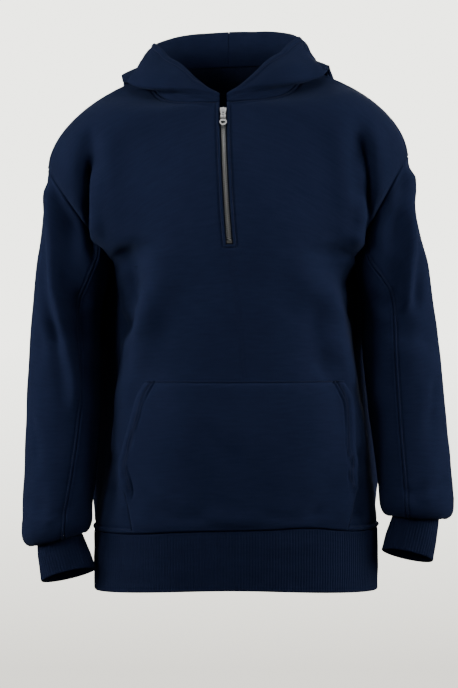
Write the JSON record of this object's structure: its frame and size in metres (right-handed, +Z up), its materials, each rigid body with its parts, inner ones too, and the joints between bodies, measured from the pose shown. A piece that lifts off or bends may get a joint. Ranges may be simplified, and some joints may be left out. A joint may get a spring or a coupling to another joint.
{
  "type": "half zip hooded sweatshirt",
  "caption": "Oversized hooded sweatshirt in heavy brushed fleece, worn form with the hood down, a short metal zip, a kangaroo pocket, dropped shoulders and ribbed cuffs and hem",
  "frame": {"origin": "the mount worn_on_shoulders, midway between the two shoulder points at the side of the neck", "axes": "+Z up from hem to hood, +Y out of the back, +X towards the wearer's left arm"},
  "size_m": [0.5963, 0.3371, 0.7884],
  "materials": {
    "fleece": "brushed cotton fleece, matte with a soft nap",
    "rib_knit": "ribbed cotton knit, matte",
    "zip_tape": "woven tape, matte",
    "zip_metal": "polished nickel plating"
  },
  "bodies": {
    "garment": {"front_panel": "fleece", "back_panel": "fleece", "sleeve_top_right": "fleece", "sleeve_under_right": "fleece", "sleeve_top_left": "fleece", "sleeve_under_left": "fleece", "cuff_right": "rib_knit", "cuff_left": "rib_knit", "hem_band": "rib_knit", "hood_right": "fleece", "hood_left": "fleece", "pocket": "fleece", "zip_tape": "zip_tape", "zip_chain": "zip_metal", "zip_stop": "zip_metal", "zip_slider": "zip_metal"},
    "pull": {"zip_pull": "zip_metal"}
  },
  "joints": [
    {"name": "pull_swing", "type": "hinge", "parent": "garment", "child": "pull", "pos_m": [-0.0066, -0.09967, -0.06925], "axis": [-1, 0, 0], "range_deg": [0, 135]}
  ]
}
